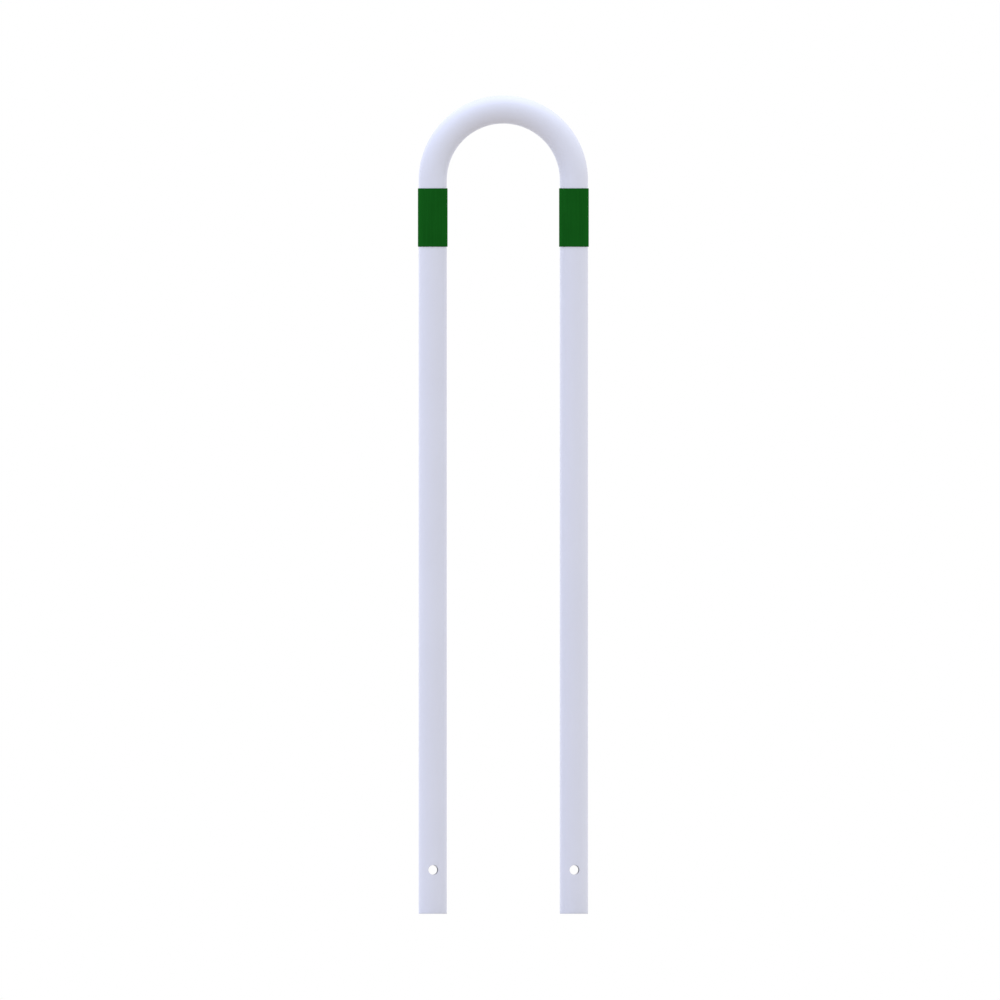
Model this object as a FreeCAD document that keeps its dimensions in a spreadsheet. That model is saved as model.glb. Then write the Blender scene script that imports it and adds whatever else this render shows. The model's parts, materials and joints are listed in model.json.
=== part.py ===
import FreeCAD, Part
import os
from enum import IntEnum

import Sketcher

# Guard hoop for a charging point: one steel tube bent to an upside-down U, planted by its two legs,
# with a coloured marker sleeve glued round each leg just under the bend.
# Frame: millimetres, +Z up, X across the hoop, Y through it.
# The origin lies on the ground-end plane, midway between the two legs.

SIZES = {
    # the bent tube
    "overall_height": 1400.0,
    "overall_width": 290.0,
    "tube_diameter": 48.3,
    "tube_wall": 3.2,
    "end_break": 0.6,
    # the cross hole through each leg, for the bar that locks the leg into its footing
    "anchor_hole_diameter": 16.5,
    "anchor_hole_height": 75.0,
    # the marker sleeve on each leg
    "sleeve_height": 100.0,
    "sleeve_wall": 1.2,
    "sleeve_glue_gap": 0.1,
    "sleeve_drop": 14.0,
    "sleeve_edge_radius": 0.8,
}

# Sizes that follow from the driving ones, as expressions on the sheet.
TUBE_RADIUS = "Sizes.tube_diameter / 2"
BORE_RADIUS = "Sizes.tube_diameter / 2 - Sizes.tube_wall"
BEND_RADIUS = "(Sizes.overall_width - Sizes.tube_diameter) / 2"
LEG_LENGTH = "Sizes.overall_height - Sizes.overall_width / 2"
SLEEVE_BORE_RADIUS = "Sizes.tube_diameter / 2 + Sizes.sleeve_glue_gap"
SLEEVE_BOTTOM = LEG_LENGTH + " - Sizes.sleeve_drop - Sizes.sleeve_height"
# A soft edge never takes more than nine tenths of the sleeve's wall.
SLEEVE_EDGE_RADIUS = "min(Sizes.sleeve_edge_radius; Sizes.sleeve_wall * 0.9)"

doc = FreeCAD.newDocument("guard_hoop")


def make_sheet():
    """Put the driving dimensions in a sheet, one named cell each."""
    sheet = doc.addObject("Spreadsheet::Sheet", "Sizes")
    for row, (name, value) in enumerate(SIZES.items(), start=1):
        sheet.set(f"A{row}", name)
        sheet.set(f"B{row}", str(value))
        sheet.setAlias(f"B{row}", name)
    doc.recompute()


def origin_plane(body, role):
    """The body's own origin plane that has this role."""
    return next(feature for feature in body.Origin.OriginFeatures if feature.Role == role)


def sketch_on(body, name, role):
    """A new sketch of the body, lying in one of its origin planes."""
    sketch = body.newObject("Sketcher::SketchObject", name)
    sketch.AttachmentSupport = [(origin_plane(body, role), "")]
    sketch.MapMode = "FlatFace"
    return sketch


def dimension(sketch, name, constraint, expression):
    """Add a named dimension to the sketch and tie it to the sheet."""
    index = sketch.addConstraint(constraint)
    sketch.renameConstraint(index, name)
    sketch.setExpression(f"Constraints.{name}", expression)


def circle(centre_x, centre_y, radius):
    """A full circle in a sketch's own plane."""
    return Part.Circle(FreeCAD.Vector(centre_x, centre_y, 0), FreeCAD.Vector(0, 0, 1), radius)


def edge_names(shape, wanted):
    """The names of the edges that pass a test."""
    return [f"Edge{i}" for i, edge in enumerate(shape.Edges, start=1) if wanted(edge)]


# The numbers that a sketch gives to the points of an element, to its X axis and to its origin.
START, END, CENTRE = IntEnum("PointOf", "START END CENTRE")
X_AXIS = -1
ORIGIN = (X_AXIS, START)


def make_bend_line(body):
    """The tube's centre line: up the left leg, half a circle over, and down the right leg."""
    half_spacing = (SIZES["overall_width"] - SIZES["tube_diameter"]) / 2
    leg = SIZES["overall_height"] - SIZES["overall_width"] / 2
    foot_left = FreeCAD.Vector(-half_spacing, 0, 0)
    foot_right = FreeCAD.Vector(half_spacing, 0, 0)
    bend_left = FreeCAD.Vector(-half_spacing, leg, 0)
    bend_right = FreeCAD.Vector(half_spacing, leg, 0)
    crown = FreeCAD.Vector(0, leg + half_spacing, 0)

    sketch = sketch_on(body, "BendLine", "XZ_Plane")
    left = sketch.addGeometry(Part.LineSegment(foot_left, bend_left))
    bend = sketch.addGeometry(Part.Arc(bend_left, crown, bend_right))
    right = sketch.addGeometry(Part.LineSegment(bend_right, foot_right))
    arc_ends = {}
    for point in (START, END):
        side = "left" if sketch.getPoint(bend, point).x < 0 else "right"
        arc_ends[side] = point
    sketch.addConstraint([
        Sketcher.Constraint("Tangent", left, END, bend, arc_ends["left"]),
        Sketcher.Constraint("Tangent", right, START, bend, arc_ends["right"]),
        Sketcher.Constraint("Vertical", left),
        Sketcher.Constraint("PointOnObject", left, START, X_AXIS),
        Sketcher.Constraint("PointOnObject", right, END, X_AXIS),
        Sketcher.Constraint("Vertical", bend, CENTRE, *ORIGIN),
    ])
    radius = Sketcher.Constraint("Radius", bend, half_spacing)
    dimension(sketch, "bend_radius", radius, BEND_RADIUS)
    height = Sketcher.Constraint("DistanceY", left, START, left, END, leg)
    dimension(sketch, "leg_length", height, LEG_LENGTH)
    return sketch


def make_tube_section(body):
    """The tube's ring section, at the foot of the left leg."""
    half_spacing = (SIZES["overall_width"] - SIZES["tube_diameter"]) / 2
    outer_radius = SIZES["tube_diameter"] / 2
    inner_radius = outer_radius - SIZES["tube_wall"]

    sketch = sketch_on(body, "TubeSection", "XY_Plane")
    outer = sketch.addGeometry(circle(-half_spacing, 0, outer_radius))
    inner = sketch.addGeometry(circle(-half_spacing, 0, inner_radius))
    sketch.addConstraint([
        Sketcher.Constraint("PointOnObject", outer, CENTRE, X_AXIS),
        Sketcher.Constraint("Coincident", inner, CENTRE, outer, CENTRE),
    ])
    offset = Sketcher.Constraint("DistanceX", outer, CENTRE, *ORIGIN, half_spacing)
    dimension(sketch, "leg_offset", offset, BEND_RADIUS)
    dimension(sketch, "outer_radius", Sketcher.Constraint("Radius", outer, outer_radius), TUBE_RADIUS)
    dimension(sketch, "inner_radius", Sketcher.Constraint("Radius", inner, inner_radius), BORE_RADIUS)
    return sketch


def make_anchor_hole(body):
    """The cross hole drilled from front to back through the left leg."""
    half_spacing = (SIZES["overall_width"] - SIZES["tube_diameter"]) / 2
    height = SIZES["anchor_hole_height"]
    radius = SIZES["anchor_hole_diameter"] / 2

    sketch = sketch_on(body, "AnchorHoleCircle", "XZ_Plane")
    hole = sketch.addGeometry(circle(-half_spacing, height, radius))
    across = Sketcher.Constraint("DistanceX", hole, CENTRE, *ORIGIN, half_spacing)
    dimension(sketch, "leg_offset", across, BEND_RADIUS)
    above = Sketcher.Constraint("DistanceY", *ORIGIN, hole, CENTRE, height)
    dimension(sketch, "height", above, "Sizes.anchor_hole_height")
    size = Sketcher.Constraint("Radius", hole, radius)
    dimension(sketch, "radius", size, "Sizes.anchor_hole_diameter / 2")

    drill = body.newObject("PartDesign::Pocket", "AnchorHole")
    drill.Profile = sketch
    drill.Type = "ThroughAll"
    drill.SideType = "Symmetric"
    return drill


def make_hoop_tube():
    """The bent tube, hollow from foot to foot, with its two cross holes and deburred feet."""
    body = doc.addObject("PartDesign::Body", "HoopTube")
    body.Label = "hoop_tube"
    bend_line = make_bend_line(body)
    section = make_tube_section(body)

    sweep = body.newObject("PartDesign::AdditivePipe", "BentTube")
    sweep.Profile = section
    sweep.Spine = bend_line
    doc.recompute()
    blank_volume = body.Shape.Volume

    drill = make_anchor_hole(body)
    both_legs = body.newObject("PartDesign::Mirrored", "AnchorHoles")
    both_legs.Originals = [drill]
    both_legs.MirrorPlane = (origin_plane(body, "YZ_Plane"), [""])
    body.Tip = both_legs
    doc.recompute()
    if body.Shape.Volume >= blank_volume:
        raise RuntimeError("the anchor holes cut nothing")

    def on_foot(edge):
        return edge.BoundBox.ZMax < SIZES["end_break"] / 2

    deburr = body.newObject("PartDesign::Chamfer", "FootEdges")
    deburr.Base = (both_legs, edge_names(both_legs.Shape, on_foot))
    deburr.setExpression("Size", "Sizes.end_break")
    body.Tip = deburr
    return body


def make_marker_sleeve(name, side):
    """A plain thin sleeve with softened outer edges, set on the leg at this side of the hoop."""
    bore = SIZES["tube_diameter"] / 2 + SIZES["sleeve_glue_gap"]
    outside = bore + SIZES["sleeve_wall"]
    height = SIZES["sleeve_height"]

    body = doc.addObject("PartDesign::Body", "".join(word.title() for word in name.split("_")))
    body.Label = name
    sketch = sketch_on(body, "SleeveSection", "XZ_Plane")
    corners = [
        FreeCAD.Vector(bore, 0, 0),
        FreeCAD.Vector(outside, 0, 0),
        FreeCAD.Vector(outside, height, 0),
        FreeCAD.Vector(bore, height, 0),
    ]
    bottom, outer, top, inner = (
        sketch.addGeometry(Part.LineSegment(corners[i], corners[(i + 1) % 4])) for i in range(4)
    )
    loop = [bottom, outer, top, inner]
    for line, following in zip(loop, loop[1:] + loop[:1]):
        sketch.addConstraint(Sketcher.Constraint("Coincident", line, END, following, START))
    sketch.addConstraint([
        Sketcher.Constraint("PointOnObject", bottom, START, X_AXIS),
        Sketcher.Constraint("Horizontal", bottom),
        Sketcher.Constraint("Horizontal", top),
        Sketcher.Constraint("Vertical", outer),
        Sketcher.Constraint("Vertical", inner),
    ])
    offset = Sketcher.Constraint("DistanceX", *ORIGIN, bottom, START, bore)
    dimension(sketch, "bore_radius", offset, SLEEVE_BORE_RADIUS)
    wall = Sketcher.Constraint("DistanceX", bottom, START, bottom, END, SIZES["sleeve_wall"])
    dimension(sketch, "wall", wall, "Sizes.sleeve_wall")
    tall = Sketcher.Constraint("DistanceY", outer, START, outer, END, height)
    dimension(sketch, "height", tall, "Sizes.sleeve_height")

    turned = body.newObject("PartDesign::Revolution", "Sleeve")
    turned.Profile = sketch
    turned.ReferenceAxis = (sketch, ["V_Axis"])
    turned.Angle = 360.0
    doc.recompute()

    def on_outer_rim(edge):
        return isinstance(edge.Curve, Part.Circle) and edge.Curve.Radius > (bore + outside) / 2

    soften = body.newObject("PartDesign::Fillet", "SoftEdges")
    soften.Base = (turned, edge_names(turned.Shape, on_outer_rim))
    soften.setExpression("Radius", SLEEVE_EDGE_RADIUS)
    body.Tip = soften
    body.setExpression("Placement.Base.x", f"{side} * {BEND_RADIUS}")
    body.setExpression("Placement.Base.z", SLEEVE_BOTTOM)
    return body


LEFT, RIGHT = -1, 1
make_sheet()
subparts = [
    make_hoop_tube(),
    make_marker_sleeve("left_marker_sleeve", LEFT),
    make_marker_sleeve("right_marker_sleeve", RIGHT),
]
doc.recompute()

for item in doc.Objects:
    if "Invalid" in item.State or "Error" in item.State:
        raise RuntimeError(f"{item.Label} did not recompute: {item.State}")
for body in subparts:
    if body.Shape.isNull() or not body.Shape.isValid():
        raise RuntimeError(f"{body.Label} has no valid shape")
    if len(body.Shape.Solids) != 1:
        raise RuntimeError(f"{body.Label} is {len(body.Shape.Solids)} solids, not one")

os.makedirs("parts", exist_ok=True)
for body in subparts:
    body.Shape.exportStep(f"parts/{body.Label}.step")
    box = body.Shape.optimalBoundingBox(False)
    print(
        f"{body.Label}: volume {body.Shape.Volume:.1f} mm3,"
        f" X {box.XMin:.2f}..{box.XMax:.2f}, Y {box.YMin:.2f}..{box.YMax:.2f},"
        f" Z {box.ZMin:.2f}..{box.ZMax:.2f}"
    )
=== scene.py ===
# %% [markdown]
# # A guard hoop for a charging point
# A guard hoop is a length of steel tube, bent to an upside-down U and planted in the ground, so that a
# car meets the hoop before it meets the charging point behind it. Each leg carries a green sleeve just
# under the bend. The construction is already settled: the frame that is loaded here holds every solid at
# its real size. This script keeps those sizes and gives the solids finer meshes, finishes and light.

# %% Load the frame
import json
import math

import bmesh
import bpy
from mathutils import Matrix, Vector


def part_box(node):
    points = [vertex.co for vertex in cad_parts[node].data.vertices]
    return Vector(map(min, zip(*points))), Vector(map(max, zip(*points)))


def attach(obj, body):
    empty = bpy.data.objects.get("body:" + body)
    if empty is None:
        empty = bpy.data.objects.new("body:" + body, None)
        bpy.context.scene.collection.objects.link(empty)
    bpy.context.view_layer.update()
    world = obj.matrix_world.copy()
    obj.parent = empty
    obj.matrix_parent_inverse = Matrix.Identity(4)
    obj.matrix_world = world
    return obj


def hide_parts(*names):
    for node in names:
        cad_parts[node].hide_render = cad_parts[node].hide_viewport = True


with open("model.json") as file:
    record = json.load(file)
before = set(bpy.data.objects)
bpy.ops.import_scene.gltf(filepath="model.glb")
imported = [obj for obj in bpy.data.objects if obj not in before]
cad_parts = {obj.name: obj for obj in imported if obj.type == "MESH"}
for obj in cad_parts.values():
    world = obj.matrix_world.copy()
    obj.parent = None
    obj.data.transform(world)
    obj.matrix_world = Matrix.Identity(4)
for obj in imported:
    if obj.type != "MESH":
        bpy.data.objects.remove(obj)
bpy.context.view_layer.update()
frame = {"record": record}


def rounded(metres):
    """Lengths for a printed line, to a tenth of a millimetre."""
    return [round(length, 4) for length in metres]


# %% [markdown]
# ## Reading the sizes
# Nothing is measured twice. The anchor hole of a leg is a mount in the record, so its place gives the
# leg's place, and its length, from one side of the tube to the other, is the tube's diameter. The frame's
# meshes are made of small flat facets, which leave the top of the bend a fraction of a millimetre low, so
# the height is rounded to the nearest millimetre. The wall can't be read from a box and is written here.

# %% Read the sizes, in metres
MM_PER_METRE = 1000
TUBE_WALL = 0.0032
mounts = {mount["name"]: mount for mount in frame["record"]["mounts"]}
anchor = mounts["right_anchor_hole"]
leg_x, _, hole_height = anchor["pos_m"]
hole_radius = anchor["dims"]["r_mm"] / MM_PER_METRE
tube_radius = anchor["dims"]["length_mm"] / MM_PER_METRE / 2
bore_radius = tube_radius - TUBE_WALL
hoop_top = round(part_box("hoop_tube")[1].z, 3)
bend_height = hoop_top - tube_radius - leg_x
print(f"tube {2 * tube_radius:.4f} m wide, legs {2 * leg_x:.4f} m apart, bend from {bend_height:.4f} m up")

# %% [markdown]
# ## Rows of points up a leg
# A leg is plain straight tube, drilled near its foot. Close rows of points all the way up would make tens
# of thousands of faces that show nothing. So the rows stand close together only round the hole, where a
# square patch of faces is cut out later, and at the foot, where one close row keeps the shading of the
# rounded edge from running up the leg.

# %% Space the rows
SIDES = 96
PATCH_COLUMNS = 16
EDGE_ROW = 0.0025
half_patch_angle = math.pi * PATCH_COLUMNS / SIDES
half_patch = tube_radius * math.sin(half_patch_angle)
row_step = 2 * half_patch / PATCH_COLUMNS
hole_rows = [hole_height - half_patch + row_step * row for row in range(PATCH_COLUMNS + 1)]
leg_rows = [0.0, EDGE_ROW] + hole_rows + [bend_height]
print(f"{len(leg_rows)} rows up a leg, {row_step:.4f} m apart round the hole")

# %% [markdown]
# ## Pulling the tube
# The hoop is one length of tube, bent over a former. A curve with a round bevel has that shape too, but a
# curve can't be drilled. Here the tube is drawn the way the steel is: a ring of points is pulled up the
# left leg, swung over through half a turn, and pulled down the right leg. That is done twice, once for
# the outside and once for the bore, so the tube has its real wall.

# %% Pull a skin along the hoop
BEND_STEPS = 72


def grow(bm, ring):
    """Extrude a ring of edges. Returns the new ring's points and edges, still in the old place."""
    grown = bmesh.ops.extrude_edge_only(bm, edges=ring)["geom"]
    verts = {item for item in grown if isinstance(item, bmesh.types.BMVert)}
    edges = [item for item in grown if isinstance(item, bmesh.types.BMEdge) and verts.issuperset(item.verts)]
    return verts, edges


def pull(bm, ring, height):
    """Extrude a ring of edges and set the new ring at this height."""
    verts, edges = grow(bm, ring)
    for vert in verts:
        vert.co.z = height
    return edges


def draw_skin(bm, radius):
    """One round skin, from the left foot over the bend to the right foot. Returns the rings at the feet."""
    start = Matrix.Translation((-leg_x, 0, leg_rows[0]))
    verts = bmesh.ops.create_circle(bm, segments=SIDES, radius=radius, matrix=start)["verts"]
    first = list(dict.fromkeys(edge for vert in verts for edge in vert.link_edges))
    ring = first
    for height in leg_rows[1:]:
        ring = pull(bm, ring, height)
    swung = bmesh.ops.spin(
        bm, geom=ring, cent=(0, 0, bend_height), axis=(0, 1, 0), angle=math.pi, steps=BEND_STEPS)
    ring = [item for item in swung["geom_last"] if isinstance(item, bmesh.types.BMEdge)]
    for height in reversed(leg_rows[:-1]):
        ring = pull(bm, ring, height)
    return first, ring


hoop = bmesh.new()
left_foot, right_foot = draw_skin(hoop, tube_radius)
draw_skin(hoop, bore_radius)
print("two skins with", len(hoop.verts), "points")

# %% [markdown]
# ## Where the drill goes
# A cross hole runs through each leg from front to back, for the bar that locks the leg into its footing. A
# boolean would cut it, but it leaves long thin faces that shade badly on a round wall. Instead a square
# patch of faces is taken out of each wall: those round the hole's axis, in one skin, at the front or at
# the back.

# %% Find the faces in the way of the drill
FRONT, BACK = -1, 1


def from_centre_line(point):
    """Distance of a point from the tube's centre line."""
    if point.z <= bend_height:
        across = abs(point.x) - leg_x
    else:
        across = math.hypot(point.x, point.z - bend_height) - leg_x
    return math.hypot(across, point.y)


def faces_to_drill(bm, leg, side, skin_radius):
    """The patch of one skin round a hole, at the front or the back of a leg."""
    half_width = skin_radius * math.sin(half_patch_angle)
    patch = []
    for face in bm.faces:
        centre = face.calc_center_median()
        if (
            abs(centre.x - leg) < half_width
            and abs(centre.z - hole_height) < half_patch
            and centre.y * side > 0
            and abs(from_centre_line(centre) - skin_radius) < TUBE_WALL / 2
        ):
            patch.append(face)
    return patch


print("a patch has", len(faces_to_drill(hoop, leg_x, FRONT, tube_radius)), "faces")

# %% [markdown]
# ## Drilling the legs
# The edge of each square opening is pulled in to a circle, and each point of the circle is moved straight
# back onto the round wall. That is what a drill does, and the faces stay even. A first, wider circle keeps
# the softening of the rim close to the rim. Bridging the circle on the outside to the one on the bore then
# makes the wall of the hole.

# %% Open the holes
RIM_MARGIN = 0.0012


def pull_to_circle(bm, ring, leg, side, skin_radius, circle_radius):
    """Extrude the edge of an opening inwards to a circle that lies on the round skin."""
    verts, edges = grow(bm, ring)
    for vert in verts:
        turn = math.atan2(vert.co.z - hole_height, vert.co.x - leg)
        across = circle_radius * math.cos(turn)
        vert.co.x = leg + across
        vert.co.y = side * math.sqrt(skin_radius**2 - across**2)
        vert.co.z = hole_height + circle_radius * math.sin(turn)
    return edges


def open_hole(bm, leg, side, skin_radius):
    """Take a patch out of one skin and close it in to the hole's rim. Returns the rim's edges."""
    patch = faces_to_drill(bm, leg, side, skin_radius)
    gone = set(patch)
    ring = [edge for face in patch for edge in face.edges if not gone.issuperset(edge.link_faces)]
    bmesh.ops.delete(bm, geom=patch, context="FACES")
    for circle_radius in (hole_radius + RIM_MARGIN, hole_radius):
        ring = pull_to_circle(bm, ring, leg, side, skin_radius, circle_radius)
    return ring


for leg in (-leg_x, leg_x):
    for side in (FRONT, BACK):
        outer_rim = open_hole(hoop, leg, side, tube_radius)
        inner_rim = open_hole(hoop, leg, side, bore_radius)
        bmesh.ops.bridge_loops(hoop, edges=outer_rim + inner_rim)
        print("hole at", rounded((leg, side * tube_radius, hole_height)), "with", len(outer_rim), "sides")

# %% [markdown]
# ## Closing the feet
# The saw leaves a flat ring at each foot. A bridge between its two edges would close it too, but such a
# bridge can come out twisted. Here the outer edge is pulled in until it meets the bore, and the points that
# meet are merged. Now the mesh is one closed shell, so its normals can be turned outwards.

# %% Close the feet
MERGE_DISTANCE = 1e-5
to_bore = bore_radius / tube_radius


def open_edges(bm):
    """How many edges don't join two faces."""
    return sum(not edge.is_manifold for edge in bm.edges)


for ring, leg in ((left_foot, -leg_x), (right_foot, leg_x)):
    verts, _ = grow(hoop, ring)
    leg_space = Matrix.Translation((-leg, 0, 0))
    bmesh.ops.scale(hoop, vec=(to_bore, to_bore, 1), verts=list(verts), space=leg_space)
bmesh.ops.remove_doubles(hoop, verts=hoop.verts, dist=MERGE_DISTANCE)
bmesh.ops.recalc_face_normals(hoop, faces=hoop.faces)
print("closed hoop with", len(hoop.faces), "faces and", open_edges(hoop), "open edges")

# %% [markdown]
# ## Rounding the rims
# The last tool is the file. Every sharp rim is rounded by a fraction of a millimetre, which is what catches
# the light on a real edge. A Bevel modifier has one width for all of them. Here the sawn feet are filed
# more than the holes, so each kind of rim is rounded by itself.

# %% Round the rims
SHARP = math.radians(50)
FOOT_ROUND = 0.0004
HOLE_ROUND = 0.00025


def sharp_edges(bm):
    """Edges where two faces meet at a clear angle."""
    return [edge for edge in bm.edges if edge.calc_face_angle(0.0) > SHARP]


def soften(bm, edges, width, steps):
    """Round a run of edges."""
    bmesh.ops.bevel(
        bm, geom=edges, offset=width, segments=steps, profile=0.5, affect="EDGES", material=-1)


rims = sharp_edges(hoop)
foot_rims = [edge for edge in rims if edge.verts[0].co.z < EDGE_ROW]
hole_rims = [edge for edge in rims if edge.verts[0].co.z > EDGE_ROW]
print("rounding", len(foot_rims), "edges at the feet and", len(hole_rims), "at the holes")
soften(hoop, foot_rims, width=FOOT_ROUND, steps=3)
soften(hoop, hole_rims, width=HOLE_ROUND, steps=3)
print("rounded hoop with", len(hoop.faces), "faces and", open_edges(hoop), "open edges")

# %% [markdown]
# ## Two finishes on one tube
# The tube is dipped in zinc, primed near the feet and then coated. The coat covers the outside, the cut
# ends and the holes, and stops at the bore. Two objects could carry the two finishes, but the tube is one
# piece of steel. So it stays one mesh, and the faces on the bore's wall point to a second material slot.

# %% Mark the bore
COAT, BORE = 0, 1
for face in hoop.faces:
    on_bore = from_centre_line(face.calc_center_median()) < bore_radius + HOLE_ROUND / 2
    face.material_index = BORE if on_bore else COAT
print(sum(face.material_index == BORE for face in hoop.faces), "faces lie on the bore")

# %% [markdown]
# ## From a mesh to a piece
# Each finished mesh stands for one solid of the frame: it rides on the frame's body and hides that solid.
# An object could be moved to its place, but here it stays at the origin and the place is in the mesh, so a
# pattern that reads Object coordinates stays where it belongs.

# %% Make the tube an object


def add_piece(bm, name, replaced):
    """Make a mesh object that stands for a solid of the frame and moves with it."""
    mesh = bpy.data.meshes.new(name)
    bm.to_mesh(mesh)
    bm.free()
    mesh.shade_smooth()
    piece = bpy.data.objects.new(name, mesh)
    bpy.context.scene.collection.objects.link(piece)
    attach(piece, "root")
    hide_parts(replaced)
    return piece


tube = add_piece(hoop, "bent_tube", "hoop_tube")
print(tube.name, "is", rounded(tube.dimensions), "m")

# %% [markdown]
# ## The marker sleeves
# Each sleeve is a short plastic tube, slipped over the leg and glued just under the bend. Two cylinders
# with bridged ends would make one. Here it is turned, as on a lathe, from the outline of its wall: four
# corners, and one more point near each end of the outside, swung once round the leg. The extra points keep
# the shading of the soft outer edges close to those edges.

# %% Turn the sleeves
GLUE_GAP = 0.0001
SLEEVE_ROW = 0.002
sleeve_bore = tube_radius + GLUE_GAP


def turn_sleeve(node):
    """Swing the outline of a sleeve's wall once round its leg."""
    low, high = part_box(node)
    middle = (low.x + high.x) / 2
    outside = (high.x - low.x) / 2
    outline = [
        (sleeve_bore, low.z),
        (outside, low.z),
        (outside, low.z + SLEEVE_ROW),
        (outside, high.z - SLEEVE_ROW),
        (outside, high.z),
        (sleeve_bore, high.z),
    ]
    bm = bmesh.new()
    verts = [bm.verts.new((middle + radius, 0, height)) for radius, height in outline]
    edges = [bm.edges.new((verts[i - 1], verts[i])) for i in range(len(verts))]
    bmesh.ops.spin(
        bm, geom=verts + edges, cent=(middle, 0, 0), axis=(0, 0, 1), angle=2 * math.pi,
        steps=SIDES, use_merge=True)
    bmesh.ops.remove_doubles(bm, verts=bm.verts, dist=MERGE_DISTANCE)
    bmesh.ops.recalc_face_normals(bm, faces=bm.faces)
    return bm


left_turned = turn_sleeve("left_marker_sleeve")
right_turned = turn_sleeve("right_marker_sleeve")
print("turned sleeves with", len(left_turned.faces), "and", len(right_turned.faces), "faces")

# %% [markdown]
# ## Softening the sleeves
# The cut ends of a plastic sleeve are dressed, so that no edge scratches a hand: the outer edges are clearly
# round, and the inner ones, against the tube, are hardly broken. Turning a rounded outline would give the
# same edges. Rounding the turned sleeve needs fewer points and takes the helper that the tube has already.

# %% Soften the sleeves and put them on
OUTER_ROUND = 0.0008
INNER_ROUND = 0.0002


def soften_sleeve(bm):
    """Round the outer and the inner rims of a sleeve."""
    rims = sharp_edges(bm)
    limit = sleeve_bore + GLUE_GAP
    outer = [edge for edge in rims if from_centre_line(edge.verts[0].co) > limit]
    inner = [edge for edge in rims if from_centre_line(edge.verts[0].co) <= limit]
    soften(bm, outer, width=OUTER_ROUND, steps=4)
    soften(bm, inner, width=INNER_ROUND, steps=2)
    print("sleeve with", len(bm.faces), "faces and", open_edges(bm), "open edges")


soften_sleeve(left_turned)
soften_sleeve(right_turned)
left_sleeve = add_piece(left_turned, "left_sleeve", "left_marker_sleeve")
right_sleeve = add_piece(right_turned, "right_sleeve", "right_marker_sleeve")
print(left_sleeve.name, "and", right_sleeve.name, "are", rounded(left_sleeve.dimensions), "m")

# %% [markdown]
# ## Arithmetic on shader sockets
# A finish is a small sum: so much colour here, a little more roughness there. Written as nodes, the sum is
# hard to read, so one class wraps a socket and lets Python's own signs add the Math nodes. Its `node`
# method adds any other node: the type, then the settings, then what goes into its sockets. A Mix node has
# sockets for numbers, vectors and colours under the same names, so its colour sockets go by number.

# %% A socket that can be added and multiplied
COLOUR_A, COLOUR_B, COLOUR_RESULT = 6, 7, 2


class Signal:
    """A socket of a node tree, for use in Python expressions."""

    def __init__(self, tree, socket=None):
        self.tree = tree
        self.socket = socket

    def node(self, kind, settings=None, inputs=None, output=0):
        """Add a node, set it up, fill its sockets, and give back one of its outputs."""
        made = self.tree.nodes.new(kind)
        for name, value in (settings or {}).items():
            setattr(made, name, value)
        for name, value in (inputs or {}).items():
            if isinstance(value, Signal):
                self.tree.links.new(value.socket, made.inputs[name])
            else:
                made.inputs[name].default_value = value
        return Signal(self.tree, made.outputs[output] if len(made.outputs) else None)

    def beside(self, name):
        """Another output of the node that this signal comes from."""
        return Signal(self.tree, self.socket.node.outputs[name])

    def math(self, operation, *others):
        """Add one Math node, with this signal as its first value."""
        return self.node("ShaderNodeMath", {"operation": operation}, dict(enumerate((self, *others))))

    def __add__(self, other):
        return self.math("ADD", other)

    def __sub__(self, other):
        return self.math("SUBTRACT", other)

    def __rsub__(self, other):
        return self.math("MULTIPLY_ADD", -1.0, other)

    def __mul__(self, other):
        return self.math("MULTIPLY", other)

    __radd__ = __add__
    __rmul__ = __mul__

    def between(self, low, high):
        """0 below low, 1 above high, and a soft step from one to the other."""
        settings = {"interpolation_type": "SMOOTHSTEP"}
        inputs = {"Value": self, "From Min": low, "From Max": high}
        return self.node("ShaderNodeMapRange", settings, inputs)

    def mix(self, at_zero, at_one):
        """A colour between two others, by this value."""
        inputs = {"Factor": self, COLOUR_A: at_zero, COLOUR_B: at_one}
        return self.node("ShaderNodeMix", {"data_type": "RGBA"}, inputs, COLOUR_RESULT)


print("a Signal offers", ", ".join(name for name in vars(Signal) if not name.startswith("_")))

# %% [markdown]
# ## What every finish shares
# Paint, zinc and plastic all end in one Principled shader, and none of them is quite even: each has its
# own clouds, grain or waves. Painted pictures could bring those, but noise needs no file, goes all round a
# tube without a seam, and has a real scale, in waves per metre. Most of its values lie in a narrow span
# about the middle, which a soft step stretches where the contrast should be full. The frame's own plain
# materials stay in the file, so the new ones need other names.

# %% Start, vary and end a finish
NOISE_SPAN = (0.35, 0.65)


def new_finish(name):
    """An empty material, and a Signal that adds nodes to it."""
    material = bpy.data.materials.new(name)
    material.use_nodes = True
    material.node_tree.nodes.clear()
    return material, Signal(material.node_tree)


def noise(place, waves, detail):
    """Soft random values about 0.5, so many waves to a metre."""
    return place.node("ShaderNodeTexNoise", inputs={"Vector": place, "Scale": waves, "Detail": detail})


def relief(height, depth, strength):
    """A normal that is tilted as if the surface rose by the height times this depth, in metres."""
    return height.node("ShaderNodeBump", inputs={"Height": height, "Distance": depth, "Strength": strength})


def finish_with(tree, **inputs):
    """End a material in one Principled shader. Underscores in the names stand for spaces."""
    sockets = {name.replace("_", " "): value for name, value in inputs.items()}
    shader = tree.node("ShaderNodeBsdfPrincipled", inputs=sockets)
    tree.node("ShaderNodeOutputMaterial", inputs={"Surface": shader})


print("names that are taken:", [material.name for material in bpy.data.materials])

# %% [markdown]
# ## Where the coat is thin
# Melted powder draws back from a sharp edge, so the coat is thinnest on the rims of the holes and feet. Those
# rims could be painted as a vertex colour. Their places are known, so here they are worked out from the
# distance to the hole's axis and from the height above the foot.

# %% Find the thin rims
RIM_REACH = 0.0015


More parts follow.
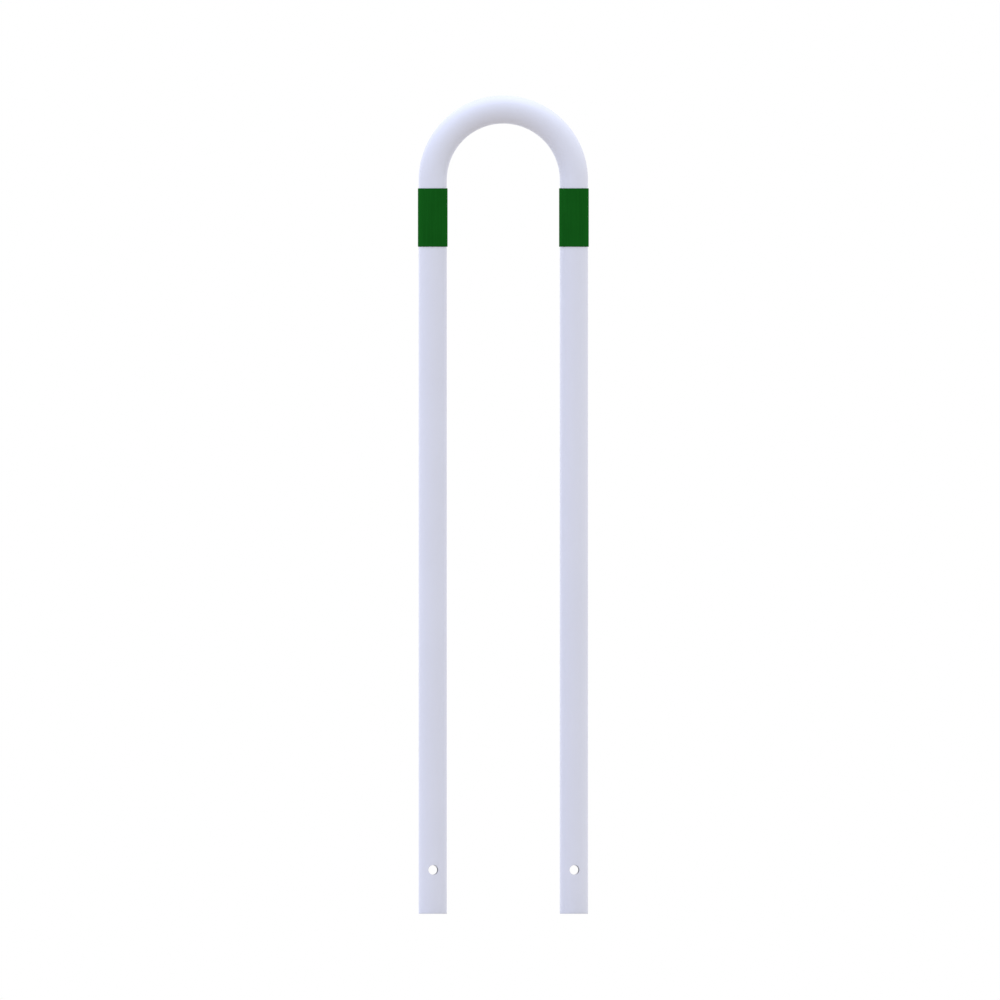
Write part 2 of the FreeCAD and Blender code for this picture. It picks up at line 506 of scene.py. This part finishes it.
def thin_rims(place):
    """1 on the rims of the holes and feet, 0 away from them."""
    split = place.node("ShaderNodeSeparateXYZ", inputs={"Vector": place})
    height = split.beside("Z")
    across = split.beside("X").math("ABSOLUTE") - leg_x
    up = height - hole_height
    from_hole = (across * across + up * up).math("SQRT")
    near_hole = 1 - from_hole.between(hole_radius, hole_radius + RIM_REACH)
    near_foot = 1 - height.between(0.0, FOOT_ROUND)
    return near_hole.math("MAXIMUM", near_foot)


print(f"thin to {RIM_REACH:.4f} m from a hole and to {FOOT_ROUND:.4f} m above a foot")

# %% [markdown]
# ## Powder coat
# The coat is a cool white. Baked powder flows into a skin with a faint orange peel, waves about a
# millimetre or two long, and it is never quite one tone over a metre of tube. On the thin rims it is a shade
# greyer. Waves that fine would need millions of faces, so a Bump node tilts the shading instead.

# %% Coat the outside


def rgb(red, green, blue):
    """A colour, as the sockets take it."""
    return (red, green, blue, 1.0)


COAT_WHITE = rgb(0.672, 0.695, 0.813)
COAT_SHADE = rgb(0.660, 0.683, 0.799)
COAT_THIN = rgb(0.56, 0.58, 0.66)
THIN_SHARE = 0.35


def powder_coat():
    """A satin powder coat with orange peel and thin rims."""
    material, tree = new_finish("satin_powder_coat")
    place = tree.node("ShaderNodeTexCoord", output="Object")
    tone = noise(place, waves=5.0, detail=3.0).between(*NOISE_SPAN)
    peel = noise(place, waves=650.0, detail=1.0)
    grain = noise(place, waves=2600.0, detail=0.0)
    white = tone.mix(COAT_WHITE, COAT_SHADE)
    finish_with(
        tree,
        Base_Color=(THIN_SHARE * thin_rims(place)).mix(white, COAT_THIN),
        Roughness=0.26 + 0.08 * grain,
        Specular_IOR_Level=0.3,
        Normal=relief(peel, depth=0.0001, strength=0.7),
    )
    return material


tube.data.materials.append(powder_coat())
coat = tube.data.materials[COAT]
print(coat.name, "has", len(coat.node_tree.nodes), "nodes")

# %% [markdown]
# ## Zinc in the bore, and primer that is partly painted light
# Deep inside, the bore shows bare zinc: dull grey metal with pale cloudy crystals. A cool white primer is
# sprayed in at the foot and fades out well above the cross hole. It is also painted light: near-white and
# bluish, it lifts the shade of the bore round the holes. Two materials would meet in a hard line.
# Spray has none, so one material slides from primer to zinc by height, and the clouds make the border
# ragged.

# %% Finish the bore
ZINC = rgb(0.42, 0.43, 0.45)
ZINC_PALE = rgb(0.56, 0.57, 0.58)
# The primer colour is partly painted light: near-white and cool, it lifts the shade inside the bore round the
# holes.
PRIMER_AND_PAINTED_LIGHT = rgb(0.90, 0.91, 0.97)
PRIMED_TO = 0.25
BARE_FROM = 0.40
RAGGED = 0.05
CRYSTAL_SPAN = (0.4, 0.6)


def bore_zinc():
    """Zinc inside the tube, with white primer near the foot that is also painted light on the shaded bore."""
    material, tree = new_finish("bore_zinc")
    place = tree.node("ShaderNodeTexCoord", output="Object")
    height = tree.node("ShaderNodeSeparateXYZ", inputs={"Vector": place}, output="Z")
    cloud = noise(place, waves=140.0, detail=3.0)
    bare = (height + RAGGED * (cloud - 0.5)).between(PRIMED_TO, BARE_FROM)
    zinc = cloud.between(*CRYSTAL_SPAN).mix(ZINC, ZINC_PALE)
    finish_with(
        tree,
        Base_Color=bare.mix(PRIMER_AND_PAINTED_LIGHT, zinc),
        Metallic=0.8 * bare,
        Roughness=0.5 + 0.1 * cloud,
        Normal=relief(cloud, depth=0.0002, strength=0.5),
    )
    return material


tube.data.materials.append(bore_zinc())
zinc = tube.data.materials[BORE]
print(zinc.name, "has", len(zinc.node_tree.nodes), "nodes")

# %% [markdown]
# ## Green sleeve plastic
# The sleeves are a deep leaf green and quite matt. Extruded plastic has faint lines along its length, from
# the die, and a fine grain. A Wave texture draws lines too, but even ones. Here a noise is stretched fifty
# times along the leg, and the streaks that it makes tint the plastic and stand a little proud. A gloss would
# whiten the rims of the sleeve. In the picture its lit rim is only a lighter green, so the plastic has a
# faint green sheen instead.

# %% Colour the sleeves
SLEEVE_GREEN = rgb(0.0068, 0.0928, 0.0098)
SLEEVE_DEEP = rgb(0.0053, 0.0767, 0.0078)
SLEEVE_SHEEN = rgb(0.075, 1.0, 0.1)
DRAWN_OUT = (1.0, 1.0, 0.02)


def sleeve_plastic():
    """Matt green plastic with die lines and grain."""
    material, tree = new_finish("sleeve_plastic")
    place = tree.node("ShaderNodeTexCoord", output="Object")
    drawn = tree.node("ShaderNodeMapping", inputs={"Vector": place, "Scale": DRAWN_OUT})
    lines = noise(drawn, waves=700.0, detail=3.0)
    grain = noise(place, waves=2200.0, detail=1.0)
    cloud = noise(place, waves=30.0, detail=2.0)
    tone = 0.5 * lines + 0.3 * grain + 0.2 * cloud
    finish_with(
        tree,
        Base_Color=tone.between(*NOISE_SPAN).mix(SLEEVE_GREEN, SLEEVE_DEEP),
        Roughness=0.42 + 0.12 * grain,
        Specular_IOR_Level=0.0,
        Sheen_Weight=0.07,
        Sheen_Tint=SLEEVE_SHEEN,
        Normal=relief(0.6 * lines + 0.4 * grain, depth=0.0001, strength=0.7),
    )
    return material


green = sleeve_plastic()
for sleeve in (left_sleeve, right_sleeve):
    sleeve.data.materials.append(green)
print(green.name, "has", len(green.node_tree.nodes), "nodes")

# %% [markdown]
# ## Camera
# The picture is a parallel view, level and square on but for a small turn to the left: the far rim of
# each cross hole shows a sliver beside the near one. A long lens far away comes close to such a view, and an
# orthographic camera gives it exactly. Its scale is the real size of the picture's width. The Standard view
# shows each colour as it is, with no film look added.

# %% Set up the camera
PICTURE_SIZE = 1000
METRES_PER_PIXEL = 0.0017107
HOOP_MIDDLE_PIXEL = 503.33
FOOT_PIXEL = 913.73
CAMERA_TURN = math.radians(-2.13)
CAMERA_DISTANCE = 6.0

to_right = Vector((math.cos(CAMERA_TURN), math.sin(CAMERA_TURN), 0))
to_camera = Vector((math.sin(CAMERA_TURN), -math.cos(CAMERA_TURN), 0))
aim = to_right * (PICTURE_SIZE / 2 - HOOP_MIDDLE_PIXEL) * METRES_PER_PIXEL
aim.z = (FOOT_PIXEL - PICTURE_SIZE / 2) * METRES_PER_PIXEL

camera_data = bpy.data.cameras.new("camera")
camera_data.type = "ORTHO"
camera_data.ortho_scale = PICTURE_SIZE * METRES_PER_PIXEL
camera = bpy.data.objects.new("camera", camera_data)
camera.location = aim + to_camera * CAMERA_DISTANCE
camera.rotation_euler = (-to_camera).to_track_quat("-Z", "Y").to_euler()
bpy.context.scene.collection.objects.link(camera)
bpy.context.scene.camera = camera
bpy.context.scene.view_settings.view_transform = "Standard"
print("camera aims at", rounded(aim), "and sees", round(camera_data.ortho_scale, 4), "m")

# %% [markdown]
# ## Light from all round
# The hoop stands in a bright, even studio on plain white. A white room could be built, but it would need
# lamps of its own. Here the world is the light: it shines on the hoop from all round, a touch cooler than
# white. What the camera, a reflection or a clear material sees of it is white itself.

# %% Make the world
WHITE = rgb(1.0, 1.0, 1.0)
WORLD_LIGHT = rgb(0.96, 0.98, 1.0)
WORLD_STRENGTH = 0.92


def seen_directly(tree):
    """1 for what the camera, a reflection or a clear material sees, 0 for light that falls on a surface."""
    path = tree.node("ShaderNodeLightPath")
    glossy_or_clear = path.beside("Is Glossy Ray").math("MAXIMUM", path.beside("Is Transmission Ray"))
    return path.beside("Is Camera Ray").math("MAXIMUM", glossy_or_clear)


world = bpy.data.worlds.new("studio")
world.use_nodes = True
world.node_tree.nodes.clear()
sky = Signal(world.node_tree)
seen = seen_directly(sky)
colour = seen.mix(WORLD_LIGHT, WHITE)
strength = WORLD_STRENGTH + seen * (1 - WORLD_STRENGTH)
background = sky.node("ShaderNodeBackground", inputs={"Color": colour, "Strength": strength})
sky.node("ShaderNodeOutputWorld", inputs={"Surface": background})
bpy.context.scene.world = world
print("world", world.name, "has", len(world.node_tree.nodes), "nodes")

# %% [markdown]
# ## Floor
# A pale floor gives a little warm light back to the underside of the bend, and it darkens where the hoop
# keeps the light off it. One colour can't do both jobs, because a floor that looks white would light the
# bend too much. So the floor has one colour for what is seen of it and one for the light that it gives back.
# It lies a hair below the feet, so that no two faces share a plane.

# %% Lay the floor
FLOOR_BOUNCE = rgb(0.54, 0.48, 0.40)
FLOOR_SEEN = rgb(0.75, 0.75, 0.75)
FLOOR_REACH = 30.0
FLOOR_DROP = 0.0002

flat = bmesh.new()
under_feet = Matrix.Translation((0, 0, -FLOOR_DROP))
bmesh.ops.create_grid(flat, x_segments=1, y_segments=1, size=FLOOR_REACH, matrix=under_feet)
floor_mesh = bpy.data.meshes.new("floor")
flat.to_mesh(floor_mesh)
flat.free()
floor = bpy.data.objects.new("floor", floor_mesh)
bpy.context.scene.collection.objects.link(floor)
floor_white, floor_tree = new_finish("floor_white")
colour = seen_directly(floor_tree).mix(FLOOR_BOUNCE, FLOOR_SEEN)
shader = floor_tree.node("ShaderNodeBsdfDiffuse", inputs={"Color": colour})
floor_tree.node("ShaderNodeOutputMaterial", inputs={"Surface": shader})
floor_mesh.materials.append(floor_white)
print("floor of", rounded(floor.dimensions), "m")

# %% [markdown]
# ## Suns
# Three very wide suns add to the world's light: a cool one from the left, a weak one from high on the right,
# and one overhead that makes the top of the bend pale. Area lamps would be softboxes too, but they fade with
# distance, and a sun lights a leg alike from top to bottom.

# %% Hang the suns


def add_sun(name, strength, colour, width, towards):
    """A sun so many degrees wide, that shines in a direction."""
    data = bpy.data.lights.new(name, "SUN")
    data.energy = strength
    data.color = colour
    data.angle = math.radians(width)
    sun = bpy.data.objects.new(name, data)
    sun.rotation_euler = Vector(towards).to_track_quat("-Z", "Y").to_euler()
    bpy.context.scene.collection.objects.link(sun)
    print(name, "of strength", strength, "shines towards", towards)


add_sun("left_light", strength=1.65, colour=(0.66, 0.73, 1.0), width=150, towards=(1, 0, 0))
add_sun("right_light", strength=0.60, colour=(1.0, 1.0, 0.96), width=90, towards=(-1, 0, -1))
add_sun("top_light", strength=0.98, colour=(0.75, 0.80, 1.0), width=60, towards=(0, 0, -1))

# %% [markdown]
